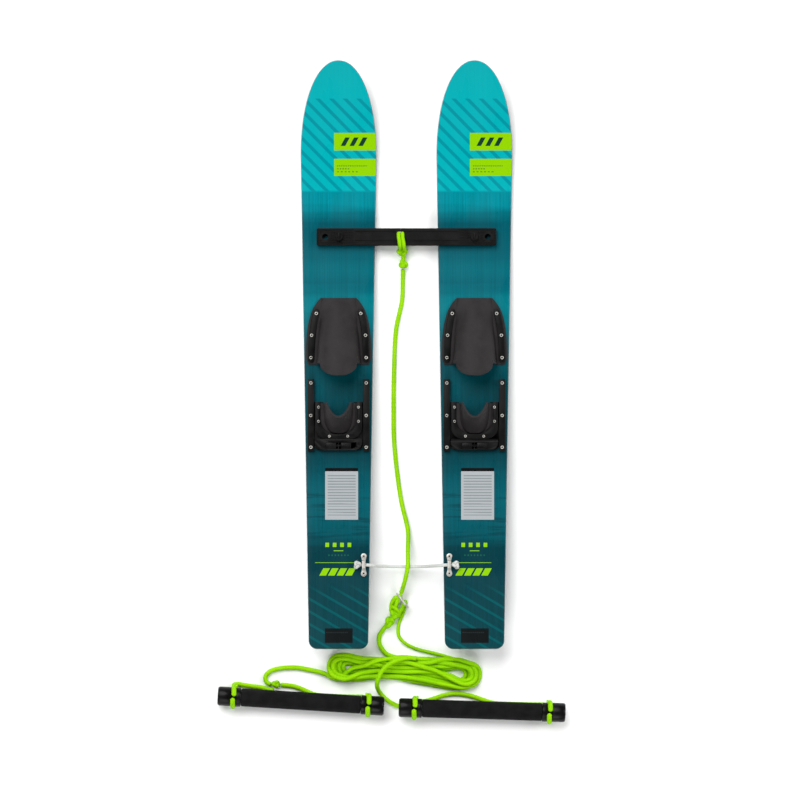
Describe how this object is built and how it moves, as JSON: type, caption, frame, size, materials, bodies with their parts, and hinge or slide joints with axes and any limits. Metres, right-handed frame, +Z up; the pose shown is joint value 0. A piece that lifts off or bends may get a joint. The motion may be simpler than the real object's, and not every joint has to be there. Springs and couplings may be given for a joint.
{
  "type": "water ski pair",
  "caption": "Pair of short learner's water skis with rubber toe pieces, sliding heel cups, a cross bar, a rear line and a tow rope with handles.",
  "frame": {"origin": "on the floor under the middle of the pair and its handles, taken without the free ropes", "axes": "+Y towards the ski tips, +X to the right seen from above with the tips away, +Z up"},
  "size_m": [0.69, 1.314, 0.1012],
  "materials": {
    "deck": "glossy printed teal deck with a lighter tip, diagonal stripes and lime blocks",
    "black_plastic": "satin injection-moulded nylon",
    "rubber": "soft matt charcoal rubber",
    "steel": "bright stainless steel",
    "aluminium": "plain drawn tube",
    "grip_foam": "matt closed-cell foam grip with a fine grain",
    "gloss_black": "glossy moulded end cap",
    "lime_rope": "braided polypropylene, bright lime",
    "white_line": "white braided line"
  },
  "bodies": {
    "root": {"left_ski_board": "deck", "left_fin": "black_plastic", "left_toe_rubber": "rubber", "left_bar_stud": "steel", "left_line_plate": "steel", "left_line_knot": "white_line", "left_toe_strip_outer": "black_plastic", "left_toe_strip_inner": "black_plastic", "left_heel_rail_outer": "black_plastic", "left_heel_rail_inner": "black_plastic", "left_handle_tube": "aluminium", "left_handle_grip": "grip_foam", "left_handle_left_cap": "gloss_black", "left_handle_right_cap": "gloss_black", "left_handle_left_lashing": "lime_rope", "left_handle_right_lashing": "lime_rope", "right_ski_board": "deck", "right_fin": "black_plastic", "right_toe_rubber": "rubber", "right_bar_stud": "steel", "right_line_plate": "steel", "right_line_knot": "white_line", "right_toe_strip_outer": "black_plastic", "right_toe_strip_inner": "black_plastic", "right_heel_rail_outer": "black_plastic", "right_heel_rail_inner": "black_plastic", "right_handle_tube": "aluminium", "right_handle_grip": "grip_foam", "right_handle_left_cap": "gloss_black", "right_handle_right_cap": "gloss_black", "right_handle_left_lashing": "lime_rope", "right_handle_right_lashing": "lime_rope", "rear_line": "white_line", "tow_line": "lime_rope", "tow_ring": "steel", "ring_knot": "lime_rope", "knot_line": "lime_rope", "thin_line": "lime_rope", "rope_hank": "lime_rope", "left_lead": "lime_rope", "left_bridle_knot": "lime_rope", "left_bridle_near": "lime_rope", "left_bridle_far": "lime_rope", "right_lead": "lime_rope", "right_bridle": "lime_rope"},
    "bar": {"trainer_bar": "black_plastic", "bar_loop": "lime_rope"},
    "left_knob": {"left_bar_knob": "black_plastic"},
    "left_heel": {"left_heel_carriage": "black_plastic", "left_heel_cup": "rubber", "left_heel_clamp": "black_plastic"},
    "left_latch_outer": {"left_latch_outer": "black_plastic"},
    "left_latch_inner": {"left_latch_inner": "black_plastic"},
    "right_knob": {"right_bar_knob": "black_plastic"},
    "right_heel": {"right_heel_carriage": "black_plastic", "right_heel_cup": "rubber", "right_heel_clamp": "black_plastic"},
    "right_latch_outer": {"right_latch_outer": "black_plastic"},
    "right_latch_inner": {"right_latch_inner": "black_plastic"}
  },
  "joints": [
    {"name": "bar_lift", "type": "slide", "parent": "root", "child": "bar", "axis": [0, 0.0638, 0.998], "range_m": [0, 0.04]},
    {"name": "left_knob_turn", "type": "hinge", "parent": "bar", "child": "left_knob", "pos_m": [-0.10419, 0.30831, 0.03077], "axis": [0, 0.0638, 0.998], "range_deg": [0, 90]},
    {"name": "left_heel_slide", "type": "slide", "parent": "root", "child": "left_heel", "axis": [0, 0.998, -0.0638], "range_m": [0, 0.044]},
    {"name": "left_latch_outer_press", "type": "slide", "parent": "left_heel", "child": "left_latch_outer", "axis": [1, 0, 0], "range_m": [0, 0.004], "stiffness_N_per_m": 600, "springref_m": -0.001},
    {"name": "left_latch_inner_press", "type": "slide", "parent": "left_heel", "child": "left_latch_inner", "axis": [-1, 0, 0], "range_m": [0, 0.004], "stiffness_N_per_m": 600, "springref_m": -0.001},
    {"name": "right_knob_turn", "type": "hinge", "parent": "bar", "child": "right_knob", "pos_m": [0.16381, 0.30831, 0.03077], "axis": [0, 0.0638, 0.998], "range_deg": [0, 90]},
    {"name": "right_heel_slide", "type": "slide", "parent": "root", "child": "right_heel", "axis": [0, 0.998, -0.0638], "range_m": [0, 0.044]},
    {"name": "right_latch_outer_press", "type": "slide", "parent": "right_heel", "child": "right_latch_outer", "axis": [-1, 0, 0], "range_m": [0, 0.004], "stiffness_N_per_m": 600, "springref_m": -0.001},
    {"name": "right_latch_inner_press", "type": "slide", "parent": "right_heel", "child": "right_latch_inner", "axis": [1, 0, 0], "range_m": [0, 0.004], "stiffness_N_per_m": 600, "springref_m": -0.001}
  ]
}
